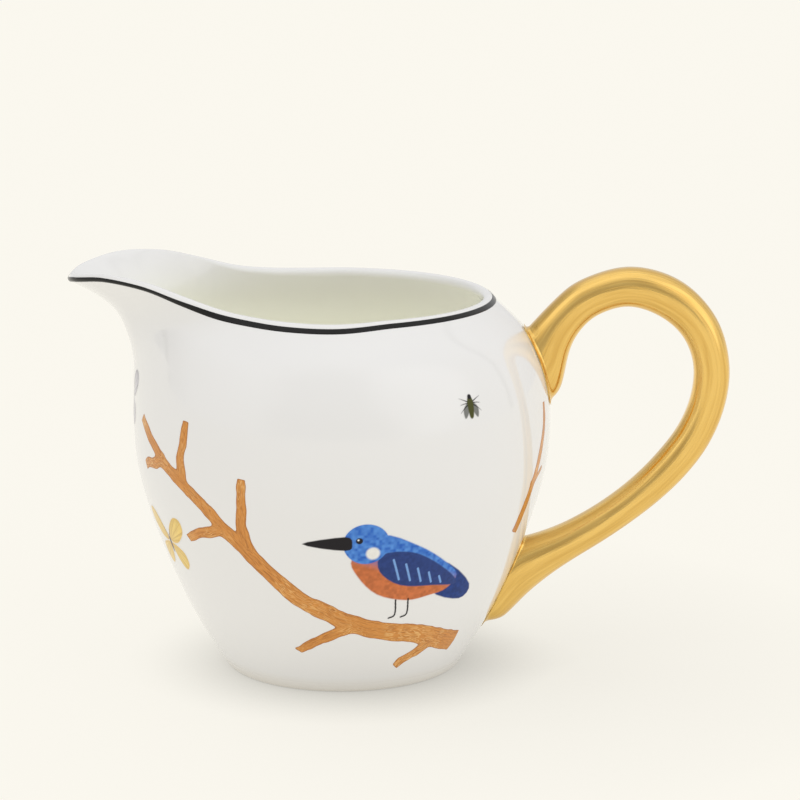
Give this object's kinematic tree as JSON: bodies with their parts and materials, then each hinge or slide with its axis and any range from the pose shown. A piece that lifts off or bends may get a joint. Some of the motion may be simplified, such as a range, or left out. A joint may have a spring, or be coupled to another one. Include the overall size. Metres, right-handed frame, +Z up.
{
  "type": "porcelain cream jug",
  "caption": "Round-bellied porcelain cream jug with a pulled pouring lip, gilt loop handle, black rim line, foot ring, and fired bird-and-branch transfers.",
  "frame": {"origin": "on the surface the jug stands on, under the middle of its overall length from lip tip to handle", "axes": "+X towards the handle, -X towards the pouring lip, +Z up; the bowl's own axis is at X = -12.7 mm"},
  "size_m": [0.1442, 0.0915, 0.0893],
  "materials": {
    "porcelain": "white bone porcelain under a clear gloss glaze",
    "gilding": "bright gold lustre fired over the glazed handle",
    "slip": "glazed porcelain slip",
    "black_enamel": "fired black enamel",
    "bark_print": "fired transfer, tan bark with fine grain lines",
    "bird_print": "fired transfer, blue and rust feathers",
    "insect_print": "fired transfer, dark green-black",
    "yellow_wing_print": "fired transfer, pale yellow",
    "grey_wing_print": "fired transfer, pale grey"
  },
  "bodies": {
    "root": {"jug_body": "porcelain", "handle": "gilding", "upper_slip_joint": "slip", "lower_slip_joint": "slip", "rim_line": "black_enamel", "branch_transfer": "bark_print", "upper_twig_transfer": "bark_print", "kingfisher_transfer": "bird_print", "fly_transfer": "insect_print", "butterfly_transfer": "yellow_wing_print", "moth_transfer": "grey_wing_print", "back_branch_transfer": "bark_print", "back_butterfly_transfer": "yellow_wing_print"}
  },
  "joints": []
}
